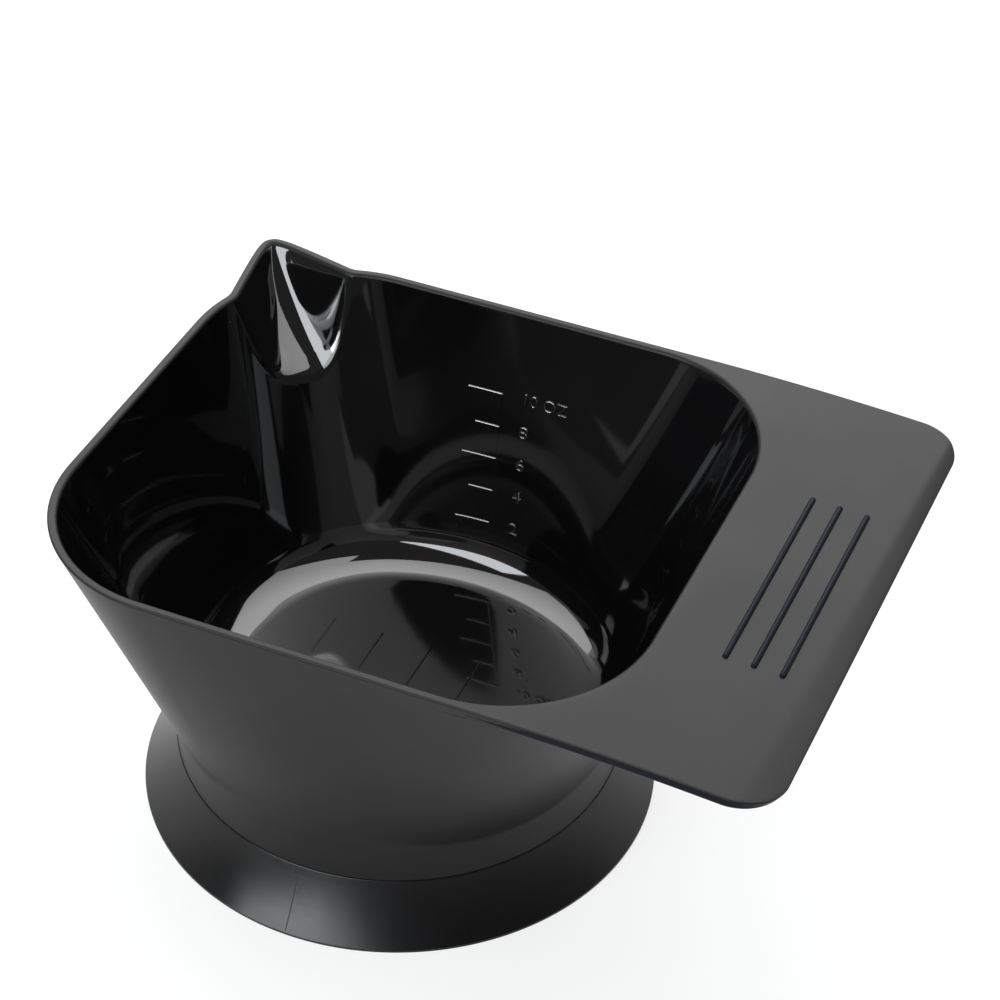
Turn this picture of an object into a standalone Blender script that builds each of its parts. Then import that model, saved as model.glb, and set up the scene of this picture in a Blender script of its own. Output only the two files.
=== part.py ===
"""Hair colour bowl: a moulded bowl with a pouring spout and a flat ribbed handle, on a rubber suction base.

Metres, +Z up. The origin lies on the axis of the round base, at table height. The handle points along +X,
and the spout is at the corner towards -X and +Y.
"""

import math

import bmesh
import bpy

MM = 0.001

# Bowl opening at the rim, inside the wall
OPENING_LENGTH = 115.9 * MM
OPENING_WIDTH = 108.2 * MM
OPENING_CORNER = 28.8 * MM
OPENING_SHIFT = 3.55 * MM  # from the base axis to the middle of the opening, towards the handle

# Bowl body
BOWL_DEPTH = 59.1 * MM
FLOOR_RADIUS = 42.0 * MM  # where wall and floor would meet without the fillet
FLOOR_FILLET = 9.5 * MM
FLOOR_THICKNESS = 2.2 * MM
WALL_AT_RIM = 1.8 * MM
WALL_AT_FLOOR = 2.1 * MM
EDGE_ROUND = 0.6 * MM

# Foot ring under the body, which plugs into the base
FOOT_STEP = 0.7 * MM  # how far the foot stands out from the body at the floor
FOOT_WALL = 2.0 * MM
FOOT_DRAFT = 0.03  # growth in radius per unit of height
FOOT_SINK = 6.9 * MM  # length of foot inside the base
FOOT_SPACE = 3.8 * MM  # from the base's top edge to the underside of the floor

# Handle, a plate that carries on from the rim and curves down to its end
HANDLE_REACH = 31.5 * MM  # from the outside of the rim to the end
HANDLE_THICKNESS = 2.4 * MM
HANDLE_CORNER = 8.7 * MM
HANDLE_BEND_LENGTH = 52.4 * MM  # the part of the plate that curves, back from its end
HANDLE_BEND_DROP = 2.2 * MM
HANDLE_LIP_LENGTH = 3.0 * MM  # the soft roll down at the very end
HANDLE_LIP_DROP = 0.7 * MM
HANDLE_ROOT_FILLET = 1.5 * MM

# Raised grip ribs across the handle
GRIP_RIBS = 3
GRIP_RIB_PITCH = 5.3 * MM
GRIP_RIB_LENGTH = 48.3 * MM
GRIP_RIB_RADIUS = 0.75 * MM
GRIP_RIB_HEIGHT = 0.5 * MM
GRIP_RIB_SETBACK = 9.9 * MM  # from the handle's end to the last rib

# Fine raised ribs on the bowl's floor, which help a brush to mix
FLOOR_RIBS = 5
FLOOR_RIB_PITCH = 10.95 * MM
FLOOR_RIB_LENGTH = 30.6 * MM
FLOOR_RIB_RADIUS = 0.6 * MM
FLOOR_RIB_HEIGHT = 0.35 * MM

# Pouring spout, a trough that leaves a corner wall and widens from its tip
SPOUT_DIRECTION = math.radians(134.6)
SPOUT_TIP = 78.4 * MM  # from the base axis to the inside of the tip
SPOUT_DROP = 19.9 * MM  # from the rim to where the trough leaves the wall
SPOUT_SPREAD = 0.69  # half width gained per unit of length, far from the tip
SPOUT_TIP_ROUND = 1.05 * MM
SPOUT_TIP_GAIN = 0.37  # by which the tip's radius grows with the wall around it
SPOUT_TIP_FLAT = 0.20  # share of the wall that is flat across the outside of the tip
SPOUT_TIP_POWER = 1.1  # nearly a plain fold at the tip
SPOUT_WALL_POWER = 2.25  # a round trough where it leaves the wall
SPOUT_FOLD = 0.10  # softness of the fold, as a share of the half width
SPOUT_BOW = 0.15  # how much steeper than its mean fall the trough is at the tip
SPOUT_WALL = 1.5 * MM
SPOUT_BLEND = 2.0 * MM

# Rubber suction base
BASE_HEIGHT = 12.9 * MM
BASE_FIT = 0.3 * MM  # clearance between the foot and its groove
SKIRT_FLARE = 7.2 * MM  # from the foot's radius to the edge on the table
SKIRT_TOP_WIDTH = 0.5 * MM
SKIRT_EDGE_HEIGHT = 0.6 * MM
SKIRT_HOLLOW = 0.35 * MM  # how far the skirt's side curves in
CONTACT_WIDTH = 2.5 * MM  # flat ring that touches the table
GROOVE_FLOOR = 1.7 * MM  # rubber under the foot
PLUG_WALL = 3.0 * MM  # rubber wall inside the foot
PLUG_CHAMFER = 0.6 * MM
MEMBRANE = 2.0 * MM
MEMBRANE_RISE = 4.0 * MM

# Fineness of the meshes
EVEN_SECTIONS = 60
CORNER_SECTIONS = 8
SPOUT_SECTIONS = 22
SPOUT_LEVELS = 8
FILLET_STEPS = 4
BASE_STEP = math.radians(5.0)
LEAST_STEP = math.radians(0.9)

# Heights and outlines that follow from the sizes above
FLOOR_UNDERSIDE = BASE_HEIGHT + FOOT_SPACE
FLOOR_HEIGHT = FLOOR_UNDERSIDE + FLOOR_THICKNESS
RIM_HEIGHT = FLOOR_HEIGHT + BOWL_DEPTH
BODY_RADIUS = FLOOR_RADIUS + WALL_AT_FLOOR
FOOT_RADIUS = BODY_RADIUS + FOOT_STEP  # at the base's top edge
FOOT_BOTTOM = BASE_HEIGHT - FOOT_SINK
FOOT_INSIDE = FOOT_RADIUS - FOOT_WALL

# Each outline is a rounded rectangle: low x, high x, half width, corner radius at low x and at high x
OPENING = (
    OPENING_SHIFT - OPENING_LENGTH / 2,
    OPENING_SHIFT + OPENING_LENGTH / 2,
    OPENING_WIDTH / 2,
    OPENING_CORNER,
    OPENING_CORNER,
)
RIM = (
    OPENING[0] - WALL_AT_RIM,
    OPENING[1] + WALL_AT_RIM,
    OPENING[2] + WALL_AT_RIM,
    OPENING_CORNER + WALL_AT_RIM,
    OPENING_CORNER + WALL_AT_RIM,
)
HANDLE_END = RIM[1] + HANDLE_REACH
PLATE = (RIM[0], HANDLE_END, RIM[2], RIM[3], HANDLE_CORNER)


def reach(outline, angle):
    """Distance from the axis to a rounded rectangle in one direction."""
    low, high, half_width, low_corner, high_corner = outline
    along = math.cos(angle)
    across = abs(math.sin(angle))
    side_x = along * half_width / max(across, 1e-9)
    if low + low_corner <= side_x <= high - high_corner:
        return half_width / across
    towards_high = side_x > high - high_corner
    end = high if towards_high else low
    corner = high_corner if towards_high else low_corner
    if abs(across * end / along) <= half_width - corner:
        return end / along
    centre_x = end - corner if towards_high else end + corner
    centre_y = half_width - corner
    facing = along * centre_x + across * centre_y
    return facing + math.sqrt(facing**2 - centre_x**2 - centre_y**2 + corner**2)


def blend(first, second, width):
    """The larger of two lengths, rounded off where they are nearly alike."""
    share = max(0.0, width - abs(first - second)) / width
    return max(first, second) + share * share * width / 4


def wall_radius(outline, floor_radius, angle, height):
    """Straight loft from a circle at the floor to an outline at the rim."""
    share = (height - FLOOR_HEIGHT) / BOWL_DEPTH
    return floor_radius + (reach(outline, angle) - floor_radius) * share


def trough_height(along, across, grow):
    """Height of the spout's trough at a place, or of its outside, which is grown by the spout's wall."""
    start_height = RIM_HEIGHT - SPOUT_DROP
    start = wall_radius(OPENING, FLOOR_RADIUS, SPOUT_DIRECTION, start_height)
    length = SPOUT_TIP - start
    fall = SPOUT_DROP / length
    to_tip = SPOUT_TIP + grow - along
    if to_tip <= 0:
        return RIM_HEIGHT + fall * (MM - to_tip)
    drop = fall * to_tip * (1 + SPOUT_BOW - SPOUT_BOW * to_tip / length)
    bow = (SPOUT_TIP_ROUND + SPOUT_TIP_GAIN * grow) / SPOUT_SPREAD**2
    half_width = SPOUT_SPREAD * math.sqrt(to_tip**2 + 2 * bow * to_tip)
    share = max(0.0, abs(across) - SPOUT_TIP_FLAT * grow) / half_width
    power = SPOUT_TIP_POWER + (SPOUT_WALL_POWER - SPOUT_TIP_POWER) * min(1.0, to_tip / length)
    bottom = SPOUT_FOLD**power
    side = ((share**2 + SPOUT_FOLD**2) ** (power / 2) - bottom) / ((1 + SPOUT_FOLD**2) ** (power / 2) - bottom)
    return RIM_HEIGHT - drop * (1 - side)


def trough_radius(angle, height, grow):
    """Distance from the axis to the trough at one height, found by halving, or 0 away from the spout."""
    turn = angle - SPOUT_DIRECTION
    if math.cos(turn) < 0.7:
        return 0.0
    near = FLOOR_RADIUS
    far = SPOUT_TIP + 4 * grow + MM
    if trough_height(near * math.cos(turn), near * math.sin(turn), grow) > height:
        return 0.0
    for _ in range(40):
        middle = (near + far) / 2
        if trough_height(middle * math.cos(turn), middle * math.sin(turn), grow) > height:
            far = middle
        else:
            near = middle
    return near


def inside_radius(angle, height):
    wall = wall_radius(OPENING, FLOOR_RADIUS, angle, height)
    return blend(wall, trough_radius(angle, height, 0.0), SPOUT_BLEND)


def outside_radius(angle, height):
    wall = wall_radius(RIM, BODY_RADIUS, angle, height)
    return blend(wall, trough_radius(angle, height, SPOUT_WALL), SPOUT_BLEND)


def foot_radius(height):
    return FOOT_RADIUS + FOOT_DRAFT * (height - BASE_HEIGHT)


def crease_height(angle):
    """Where the leaning wall comes out of the foot ring."""
    lean = (reach(RIM, angle) - BODY_RADIUS) / BOWL_DEPTH
    gain = FOOT_RADIUS - BODY_RADIUS + FOOT_DRAFT * (FLOOR_HEIGHT - BASE_HEIGHT)
    return FLOOR_HEIGHT + gain / (lean - FOOT_DRAFT)


def plate_height(x):
    """Height of the rim and of the handle, which bends down towards its end."""
    bend = max(0.0, x - HANDLE_END + HANDLE_BEND_LENGTH) / HANDLE_BEND_LENGTH
    return RIM_HEIGHT - HANDLE_BEND_DROP * bend**2


def top_height(x):
    """The same with the soft lip at the handle's end, which only its top has."""
    lip = max(0.0, x - HANDLE_END + HANDLE_LIP_LENGTH) / HANDLE_LIP_LENGTH
    return plate_height(x) - HANDLE_LIP_DROP * lip**2


def fillet_section(angle):
    """The floor's edge, rounded up into the wall."""
    lean = math.atan((reach(OPENING, angle) - FLOOR_RADIUS) / BOWL_DEPTH)
    sweep = math.pi / 2 - lean
    centre = FLOOR_RADIUS - FLOOR_FILLET * math.tan(sweep / 2)
    points = []
    for step in range(FILLET_STEPS + 1):
        turn = sweep * step / FILLET_STEPS
        radius = centre + FLOOR_FILLET * math.sin(turn)
        points.append((radius, FLOOR_HEIGHT + FLOOR_FILLET * (1 - math.cos(turn))))
    return points


def edge_section(angle):
    """Over the rim or the handle: inner edge, top, outer edge and underside, down to the outer wall."""
    inner = inside_radius(angle, RIM_HEIGHT)
    body = outside_radius(angle, RIM_HEIGHT)
    overhang = reach(PLATE, angle) - reach(RIM, angle)
    outer = body + overhang
    corner = 0.293 * EDGE_ROUND  # how far a quarter circle's middle stays from the square corner
    x_share = math.cos(angle)

    def on_top(radius, depth=0.0):
        return (radius, top_height(radius * x_share) - depth)

    width = outer - inner - 2 * EDGE_ROUND
    lip = min(HANDLE_LIP_LENGTH, width / 4)
    points = [
        on_top(inner, EDGE_ROUND),
        on_top(inner + corner, corner),
        on_top(inner + EDGE_ROUND),
        on_top(inner + EDGE_ROUND + (width - lip) / 3),
        on_top(inner + EDGE_ROUND + (width - lip) * 2 / 3),
        on_top(outer - EDGE_ROUND - lip),
        on_top(outer - EDGE_ROUND),
        on_top(outer - corner, corner),
    ]
    end_height = plate_height(outer * x_share)
    end_lip = end_height - top_height(outer * x_share)
    body_height = plate_height(body * x_share)

    def wall_at(depth):
        return outside_radius(angle, body_height - depth)

    rounded = min(1.0, overhang / (4 * EDGE_ROUND))
    for depth, inset in (
        (EDGE_ROUND + end_lip, 0.0),
        (HANDLE_THICKNESS - EDGE_ROUND, 0.0),
        (HANDLE_THICKNESS - corner, corner),
        (HANDLE_THICKNESS, EDGE_ROUND),
    ):
        points.append((wall_at(depth) + overhang - rounded * inset, end_height - depth))

    # Under the handle the plate runs back to the wall; on the bare rim these points slide down the wall
    fillet = HANDLE_ROOT_FILLET
    full = min(1.0, overhang / (3 * fillet))
    for out, level, bare_level in (
        ((overhang - EDGE_ROUND + fillet) / 2, 0.0, 0.3),
        (fillet, 0.0, 0.5),
        (0.293 * fillet, 0.293, 0.75),
        (0.0, 1.0, 1.0),
    ):
        depth = HANDLE_THICKNESS + fillet * (full * level + (1 - full) * bare_level)
        radius = wall_at(depth) + max(0.0, full * out)
        points.append((radius, plate_height(radius * x_share) - depth))
    return points


def bowl_section(angle):
    """The bowl's section in one direction, from the middle of the floor over the rim to the underside."""
    channel_low = RIM_HEIGHT - SPOUT_DROP - SPOUT_BLEND
    points = [(0.0, FLOOR_HEIGHT)] + fillet_section(angle)
    channel_high = top_height(inside_radius(angle, RIM_HEIGHT) * math.cos(angle)) - EDGE_ROUND
    for level in range(SPOUT_LEVELS):
        height = channel_low + (channel_high - channel_low) * level / SPOUT_LEVELS
        points.append((inside_radius(angle, height), height))
    points += edge_section(angle)
    high = points[-1][1]
    low = channel_low - SPOUT_WALL
    for level in range(1, SPOUT_LEVELS + 1):
        height = high + (low - high) * level / SPOUT_LEVELS
        points.append((outside_radius(angle, height), height))
    crease = crease_height(angle)
    points += [
        (foot_radius(crease), crease),
        (foot_radius(FOOT_BOTTOM), FOOT_BOTTOM),
        (FOOT_INSIDE, FOOT_BOTTOM),
        (FOOT_INSIDE, FLOOR_UNDERSIDE),
        (0.0, FLOOR_UNDERSIDE),
    ]
    return points


def corner_directions(outline, which):
    """Directions from the axis to points on one pair of rounded corners, at low x or at high x."""
    corner = outline[4] if which == "high" else outline[3]
    centre_x = outline[1] - corner if which == "high" else outline[0] + corner
    first = 0.0 if which == "high" else math.pi / 2
    angles = []
    for step in range(CORNER_SECTIONS + 1):
        turn = first + math.pi / 2 * step / CORNER_SECTIONS
        x = centre_x + corner * math.cos(turn)
        y = outline[2] - corner + corner * math.sin(turn)
        angles += [math.atan2(y, x), math.atan2(-y, x)]
    return angles


def bowl_directions():
    """Even steps round the bowl, with more at the corners and across the spout."""
    rim = reach(RIM, SPOUT_DIRECTION)
    half_span = math.atan2(SPOUT_SPREAD * (SPOUT_TIP - rim) + 4 * SPOUT_WALL, rim)
    spout = [
        SPOUT_DIRECTION + half_span * (2 * step / SPOUT_SECTIONS - 1)
        for step in range(SPOUT_SECTIONS + 1)
    ]
    others = [2 * math.pi * step / EVEN_SECTIONS for step in range(EVEN_SECTIONS)]
    for outline, which in ((OPENING, "low"), (OPENING, "high"), (PLATE, "high")):
        others += corner_directions(outline, which)
    kept = sorted(angle % (2 * math.pi) for angle in spout)
    for angle in (other % (2 * math.pi) for other in others):
        gaps = [abs((angle - done + math.pi) % (2 * math.pi) - math.pi) for done in kept]
        if min(gaps) > LEAST_STEP:
            kept.append(angle)
    return sorted(kept)


def material(name, colour, roughness):
    made = bpy.data.materials.new(name)
    made.use_nodes = True
    shader = made.node_tree.nodes["Principled BSDF"]
    shader.inputs["Base Color"].default_value = (*colour, 1.0)
    shader.inputs["Roughness"].default_value = roughness
    shader.inputs["Metallic"].default_value = 0.0
    return made


def put(name, shape, collection):
    """Wraps a bmesh or a mesh in an object of the collection."""
    mesh = bpy.data.meshes.new(name)
    shape.to_mesh(mesh)
    shape.free()
    made = bpy.data.objects.new(name, mesh)
    collection.objects.link(made)
    return made


def lofted(name, directions, section, collection):
    """Skins sections that all start and end on the axis into one closed body."""
    shape = bmesh.new()
    rows = []
    for angle in directions:
        points = section(angle)
        if not rows:
            top = shape.verts.new((0.0, 0.0, points[0][1]))
            bottom = shape.verts.new((0.0, 0.0, points[-1][1]))
        rows.append([
            shape.verts.new((radius * math.cos(angle), radius * math.sin(angle), height))
            for radius, height in points[1:-1]
        ])
    for here, there in zip(rows, rows[1:] + rows[:1]):
        shape.faces.new((top, here[0], there[0]))
        for step in range(len(here) - 1):
            shape.faces.new((here[step], here[step + 1], there[step + 1], there[step]))
        shape.faces.new((here[-1], bottom, there[-1]))
    return put(name, shape, collection)


def add_bar(shape, length, radius, place):
    """A round bar along Y with round ends: a sphere whose halves are drawn apart."""
    made = bmesh.ops.create_uvsphere(shape, u_segments=12, v_segments=7, radius=radius)
    for vert in made["verts"]:
        x, y, z = vert.co
        stretch = math.copysign(length / 2 - radius, z)
        vert.co = (x + place[0], z + stretch + place[1], -y + place[2])


def ribs(collection):
    """The raised ribs of the handle and of the floor, sunk so that only their tops stand out."""
    shape = bmesh.new()
    for number in range(GRIP_RIBS):
        x = HANDLE_END - GRIP_RIB_SETBACK - number * GRIP_RIB_PITCH
        height = top_height(x) + GRIP_RIB_HEIGHT - GRIP_RIB_RADIUS
        add_bar(shape, GRIP_RIB_LENGTH, GRIP_RIB_RADIUS, (x, 0.0, height))
    for number in range(FLOOR_RIBS):
        x = (number - (FLOOR_RIBS - 1) / 2) * FLOOR_RIB_PITCH
        height = FLOOR_HEIGHT + FLOOR_RIB_HEIGHT - FLOOR_RIB_RADIUS
        add_bar(shape, FLOOR_RIB_LENGTH, FLOOR_RIB_RADIUS, (x, 0.0, height))
    made = put("raised_ribs", shape, collection)
    made.hide_render = True
    made.display_type = "WIRE"
    return made


def base_profile():
    """The rubber base's section from the top of its membrane round its skirt to the suction hollow."""
    plug_outside = FOOT_INSIDE - BASE_FIT
    plug_inside = plug_outside - PLUG_WALL
    groove = FOOT_BOTTOM - BASE_FIT
    roof = groove - GROOVE_FLOOR
    foot_low = foot_radius(groove) + BASE_FIT
    foot_high = foot_radius(BASE_HEIGHT) + BASE_FIT
    skirt_top = foot_high + SKIRT_TOP_WIDTH
    edge = FOOT_RADIUS + SKIRT_FLARE

    def dome(share):
        return roof + MEMBRANE_RISE * (1 - share**2)

    shares = (0.0, 0.25, 0.5, 0.75, 1.0)
    points = [(plug_inside * share, dome(share) + MEMBRANE) for share in shares]
    points += [
        (plug_inside, BASE_HEIGHT - PLUG_CHAMFER),
        (plug_inside + PLUG_CHAMFER, BASE_HEIGHT),
        (plug_outside - PLUG_CHAMFER, BASE_HEIGHT),
        (plug_outside, BASE_HEIGHT - PLUG_CHAMFER),
        (plug_outside, groove),
        (foot_low, groove),
        (foot_high, BASE_HEIGHT),
    ]
    for share in shares:
        bow = SKIRT_HOLLOW * 4 * share * (1 - share)
        height = BASE_HEIGHT + (SKIRT_EDGE_HEIGHT - BASE_HEIGHT) * share
        points.append((skirt_top + (edge - skirt_top) * share - bow, height))
    points += [
        (edge, 0.0),
        (edge - CONTACT_WIDTH, 0.0),
        (foot_high, roof * 0.8),
        (plug_outside, roof),
    ]
    points += [(plug_inside * share, dome(share)) for share in reversed(shares)]
    return points


def turned(name, profile, sections, collection):
    """A profile from axis to axis, turned about Z with a Screw modifier."""
    shape = bmesh.new()
    verts = [shape.verts.new((radius, 0.0, height)) for radius, height in profile]
    for here, there in zip(verts, verts[1:]):
        shape.edges.new((here, there))
    made = put(name, shape, collection)
    screw = made.modifiers.new("turn", "SCREW")
    screw.axis = "Z"
    screw.steps = sections
    screw.render_steps = sections
    screw.use_merge_vertices = True
    screw.merge_threshold = 0.00001
    return made


def finish(made, look):
    made.data.materials.append(look)
    if made.data.polygons:
        made.data.shade_smooth()
        made.data.set_sharp_from_angle(angle=math.radians(35))


def main():
    for old in list(bpy.data.objects):
        bpy.data.objects.remove(old)
    parts = bpy.data.collections.new("hair_colour_bowl")
    helpers = bpy.data.collections.new("cutters")
    for collection in (parts, helpers):
        bpy.context.scene.collection.children.link(collection)

    bowl = lofted("bowl", bowl_directions(), bowl_section, parts)
    join = bowl.modifiers.new("raised ribs", "BOOLEAN")
    join.operation = "UNION"
    join.solver = "EXACT"
    join.object = ribs(helpers)
    finish(bowl, material("black bowl plastic", (0.012, 0.012, 0.013), 0.3))

    base = turned("suction_base", base_profile(), round(2 * math.pi / BASE_STEP), parts)
    finish(base, material("black base rubber", (0.02, 0.02, 0.021), 0.55))
    bowl.parent = base


main()
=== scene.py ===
"""Hair colour bowl: fine surfaces, ounce scale, finishes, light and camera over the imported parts.

Metres, +Z up. The origin lies on the axis of the round base, at table height. The handle points
along +X, and the spout is at the corner towards -X and +Y. The near side faces the camera.
"""

import math

import bpy
import numpy as np
from mathutils import Matrix, Vector

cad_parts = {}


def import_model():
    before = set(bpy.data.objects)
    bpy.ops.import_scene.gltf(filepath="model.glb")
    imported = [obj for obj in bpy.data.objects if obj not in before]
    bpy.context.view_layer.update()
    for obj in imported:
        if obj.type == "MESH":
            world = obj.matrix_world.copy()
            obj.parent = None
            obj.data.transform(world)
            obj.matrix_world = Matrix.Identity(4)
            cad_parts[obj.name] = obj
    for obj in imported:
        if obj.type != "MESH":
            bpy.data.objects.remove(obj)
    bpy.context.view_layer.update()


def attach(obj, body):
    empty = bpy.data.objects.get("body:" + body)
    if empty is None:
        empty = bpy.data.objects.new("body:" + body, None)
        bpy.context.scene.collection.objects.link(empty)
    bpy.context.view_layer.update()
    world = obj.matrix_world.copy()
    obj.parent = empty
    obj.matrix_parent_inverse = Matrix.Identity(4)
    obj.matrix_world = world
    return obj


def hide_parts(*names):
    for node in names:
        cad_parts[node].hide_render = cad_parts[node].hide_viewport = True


MM = 0.001
TINY = 1e-9  # keeps divisions away from zero
UP = Vector((0.0, 0.0, 1.0))

# Bowl opening and body, as in the part's source
OPENING_LENGTH = 115.9 * MM
OPENING_WIDTH = 108.2 * MM
OPENING_CORNER = 28.8 * MM
OPENING_SHIFT = 3.55 * MM
BOWL_DEPTH = 59.1 * MM
FLOOR_RADIUS = 42.0 * MM
FLOOR_FILLET = 9.5 * MM
FLOOR_THICKNESS = 2.2 * MM
WALL_AT_RIM = 1.8 * MM
WALL_AT_FLOOR = 2.1 * MM
EDGE_ROUND = 0.6 * MM

# Foot ring
FOOT_STEP = 0.7 * MM
FOOT_WALL = 2.0 * MM
FOOT_DRAFT = 0.03
FOOT_SINK = 6.9 * MM
FOOT_SPACE = 3.8 * MM
FOOT_CREASE = 0.5 * MM  # softness of the crease between wall and foot

# Handle and its grip ribs
HANDLE_REACH = 31.5 * MM
HANDLE_THICKNESS = 2.4 * MM
HANDLE_CORNER = 8.7 * MM
HANDLE_BEND_LENGTH = 52.4 * MM
HANDLE_BEND_DROP = 2.2 * MM
HANDLE_LIP_BACK = 2.5 * MM  # length of the soft lip at the handle's back corner
HANDLE_LIP_FRONT = 6.5 * MM  # the same at its front corner
HANDLE_LIP_DROP = 0.75 * MM
HANDLE_LIP_POWER = 1.3  # of the curve in which the lip rolls over
HANDLE_ROOT_FILLET = 1.5 * MM
EDGE_SHADE_START = 0.2 * MM  # overhang at which the painted shade on the handle's edge starts, at half its height
EDGE_SHADE_TAPER = 4.5 * MM  # further overhang over which it widens to the edge's whole height
GRIP_RIBS = 3
GRIP_RIB_PITCH = 5.3 * MM
GRIP_RIB_LENGTH = 48.3 * MM
GRIP_RIB_HALF_WIDTH = 0.60 * MM
GRIP_RIB_HEIGHT = 0.5 * MM
GRIP_RIB_SETBACK = 9.9 * MM

# Floor ribs
FLOOR_RIBS = 5
FLOOR_RIB_PITCH = 10.95 * MM
FLOOR_RIB_LENGTH = 30.6 * MM
FLOOR_RIB_HALF_WIDTH = 0.22 * MM
FLOOR_RIB_HEIGHT = 0.09 * MM

# Spout: a trough from a tip in the plane of the rim down to the corner's wall
SPOUT_DIRECTION = math.radians(134.6)
SPOUT_TIP = 78.4 * MM
SPOUT_DROP = 19.9 * MM
SPOUT_SPREAD = 0.69  # half width over length, on the near side
SPOUT_FAR_SPREAD = 0.625  # the same on the side of the far wall
SPOUT_TIP_ROUND = 1.05 * MM
SPOUT_TIP_GAIN = 0.37  # by which the tip's radius grows with the wall around it
SPOUT_TIP_FLAT = 0.20  # of the wall, by which the outside is flat at each side of its lowest line
SPOUT_BOW = 0.15  # how much steeper than its mean fall the trough is at the tip
SPOUT_WALL = 1.5 * MM
SPOUT_BLEND = 1.3 * MM  # rounding between the trough's low end and the wall
SPOUT_RIM_BLEND = 0.8 * MM  # the same at the rim
SPOUT_SECTOR = 0.7  # cosine of the half angle in which the trough is looked for
TROUGH_HALVINGS = 40

# Spout's section: a floor that turns up into two sides, in shares of the half width
SPOUT_TIP_FLOOR = 0.16  # where the floor turns up, at the tip
SPOUT_WALL_FLOOR = 0.50  # the same at the wall, on the near side
SPOUT_FAR_WALL_FLOOR = 0.37  # the same at the wall, on the far side
SPOUT_FOLD = 0.33  # softness of that turn, at the wall
SPOUT_TIP_FOLD = 0.05  # the same at the tip, on the near side
SPOUT_FAR_TIP_FOLD = 0.20  # the same at the tip, on the far side
SPOUT_FOLD_POWER = 2.5  # of the way in which the near side's turn softens towards the wall
SPOUT_LEAN = 8.5 * MM  # sets how far the trough's lowest line bows towards the near side
SPOUT_LEAN_END = 0.77  # share of the trough's length at which that line is back in the middle
SPOUT_LEAN_BACK = 0.7 * MM  # how far it then runs to the far side

# Rubber suction base
BASE_HEIGHT = 12.9 * MM
BASE_FIT = 0.3 * MM
LIP_FIT = 0.03 * MM  # at the top edge, where the rubber hugs the foot
LIP_WIDTH = 0.10 * MM
LIP_DROP = 0.60 * MM  # of the lip below the base's full height
LIP_LENGTH = 1.2 * MM  # over which the groove's wall closes in to the lip
LIP_ROUND = 0.3 * MM
PARTING_LINE = math.radians(-90.2)  # where the mould's halves met on the skirt
PARTING_HALF_WIDTH = 0.11 * MM
PARTING_HEIGHT = 0.05 * MM
PARTING_END = 0.01  # share of the skirt left free at each end, and the step for the skirt's slope
SKIRT_FLARE = 7.2 * MM
SKIRT_TOP_ROUND = 0.012  # share of the skirt that the rounding at its top takes
SKIRT_EDGE_HEIGHT = 0.6 * MM
SKIRT_EDGE_ROUND = 0.15 * MM
SKIRT_HOLLOW = 0.35 * MM
CONTACT_WIDTH = 2.5 * MM
GROOVE_FLOOR = 1.7 * MM
PLUG_WALL = 3.0 * MM
PLUG_CHAMFER = 0.6 * MM
MEMBRANE = 2.0 * MM
MEMBRANE_RISE = 4.0 * MM
HOLLOW_SHOULDER = 0.8  # height of the suction hollow under the groove, as a share of its roof's

# Raised ounce scale on the far wall, from the highest mark down
MARK_HEIGHTS = {
    "10 OZ": 59.7 * MM,
    "8": 52.3 * MM,
    "6": 45.0 * MM,
    "4": 37.6 * MM,
    "2": 30.15 * MM,
}
LONG_MARKS = ("10 OZ", "6", "2")
LONG_MARK = 7.75 * MM
SHORT_MARK = 5.55 * MM
MARK_HALF_WIDTH = 0.22 * MM
MARK_HEIGHT = 0.24 * MM
MARK_LINE_HALF_WIDTH = 0.16 * MM
MARK_LINE_HEIGHT = 0.03 * MM
NUMBER_START = 4.15 * MM
NUMBER_SIZE = 2.6 * MM
CAPITAL_SHARE = 0.7  # height of a capital over the font's size
NUMBER_HEIGHT = 0.16 * MM
NUMBER_BEVEL = 0.12 * MM
NUMBER_THINNING = 0.9  # share of the bevel that is taken off the figures' outline before it
NUMBER_CREASE = 50.0  # degrees from which an edge of a figure stays sharp
FIGURE_STRETCH = 1.3  # of the single figures, which are wider than the letters
FAR_WALL_ROUNDS = 8  # of the search for a place on the far wall
FAR_WALL_STEP = 0.2 * MM  # to each side, for the wall's directions there

# Finishes: noise scales are per metre, depths are those of bumps
CLOUD_SCALE = 45.0
SPECK_SCALE = 160.0
SPECK_CHOICE_SCALE = 70.0
SPECK_COLOUR = (0.25, 0.25, 0.26, 1.0)
UNEVEN_SCALE = 28.0
WAVE_SCALE = 55.0
WAVE_DEPTH = 0.3 * MM
STREAK_SCALE = 900.0
STREAK_DRIFT = 0.03  # how slowly streaks change on their way round the axis
GRAIN_SCALE = 2600.0
GRAIN_DEPTH = 0.05 * MM

# Camera, by the point it looks at and its turns in degrees
CAMERA_TURN = 22.932  # from -Y towards +X
CAMERA_RISE = 39.429
CAMERA_ROLL = 1.061
CAMERA_AIM = Vector((2.677, 43.408, 37.818)) * MM
CAMERA_DISTANCE = 598.39 * MM
CAMERA_SENSOR = 36.0
CAMERA_LENS = 103.99

# Studio
STUDIO_FLOOR_HALF = 3.0
STUDIO_FLOOR_COLOUR = (0.86, 0.86, 0.86, 1.0)
STUDIO_FLOOR_WHITE = 0.72  # share of plain white in the floor that shows, beside its shadowed colour
ROOM_LEVEL = 0.12  # brightness of the room behind the camera, in mirrors
ROOM_START = -0.15  # where the room begins to brighten, on the way from the camera to the backdrop
ROOM_END = 0.35  # where it is as bright as the backdrop
FILL_LEVEL = 0.06  # even light from all round
LAMP_DISTANCE = 1.6
LAMP_AIM = Vector((0.0, 0.0, 50.0 * MM))
TOP_LEVEL = 1.80
TOP_SPREAD = 150.0
FULL_SPREAD = 180.0
COOL = (0.93, 0.97, 1.0)
WHITE = (1.0, 1.0, 1.0)

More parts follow.
